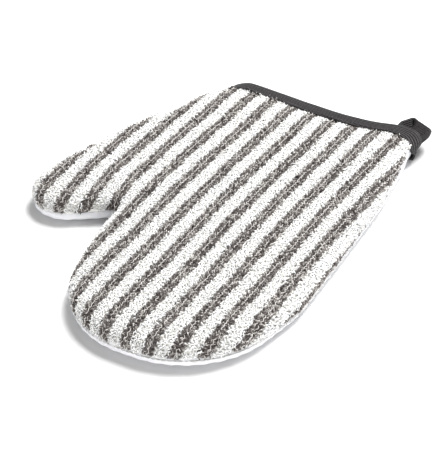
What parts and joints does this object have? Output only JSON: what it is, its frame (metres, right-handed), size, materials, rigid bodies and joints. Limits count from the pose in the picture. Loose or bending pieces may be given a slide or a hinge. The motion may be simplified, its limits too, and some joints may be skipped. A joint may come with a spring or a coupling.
{
  "type": "oven mitt",
  "caption": "Padded oven mitt lying flat, with striped looped towelling on the gripping side, plain cotton back, taped cuff and corner hanging loop.",
  "frame": {"origin": "middle of the bounding box, on the surface the mitt lies on", "axes": "+Y from the finger tip to the cuff, +Z from the plain back up to the towelling, the thumb is at -X"},
  "size_m": [0.2184, 0.3109, 0.022],
  "materials": {
    "terry_towelling": "looped pile, cream with taupe stripes",
    "white_cotton": "plain woven cotton",
    "lining_cotton": "plain woven cotton lining",
    "wadding": "bonded fibre wadding",
    "charcoal_tape": "twill tape",
    "charcoal_thread": "sewing thread",
    "white_thread": "sewing thread"
  },
  "bodies": {
    "hand": {"terry_hand": "terry_towelling", "front_wadding_hand": "wadding", "front_lining_hand": "lining_cotton", "back_shell_hand": "white_cotton", "back_wadding_hand": "wadding", "back_lining_hand": "lining_cotton", "side_seam_hand": "white_thread", "cuff_binding": "charcoal_tape", "binding_stitches_front": "charcoal_thread", "binding_stitches_back": "charcoal_thread", "loop_side_tail": "charcoal_tape", "loop_inner_tail": "charcoal_tape", "loop_bar_tack": "charcoal_thread"},
    "thumb": {"terry_thumb": "terry_towelling", "front_wadding_thumb": "wadding", "front_lining_thumb": "lining_cotton", "back_shell_thumb": "white_cotton", "back_wadding_thumb": "wadding", "back_lining_thumb": "lining_cotton", "side_seam_thumb": "white_thread"},
    "fingers": {"terry_fingers": "terry_towelling", "front_wadding_fingers": "wadding", "front_lining_fingers": "lining_cotton", "back_shell_fingers": "white_cotton", "back_wadding_fingers": "wadding", "back_lining_fingers": "lining_cotton", "side_seam_fingers": "white_thread"},
    "loop": {"hanging_loop": "charcoal_tape"}
  },
  "joints": [
    {"name": "thumb_fold", "type": "hinge", "parent": "hand", "child": "thumb", "pos_m": [-0.0468, -0.0418, 0.022], "axis": [-0.3604, 0.9328, 0], "range_deg": [0, 70], "stiffness_Nm_per_rad": 0.02},
    {"name": "finger_fold", "type": "hinge", "parent": "hand", "child": "fingers", "pos_m": [0.033, -0.062, 0.022], "axis": [-1, 0, 0], "range_deg": [0, 80], "stiffness_Nm_per_rad": 0.05},
    {"name": "loop_swing", "type": "hinge", "parent": "hand", "child": "loop", "pos_m": [0.0835, 0.14, 0.00875], "axis": [1, 0, 0], "range_deg": [-45, 90], "stiffness_Nm_per_rad": 0.0002}
  ]
}
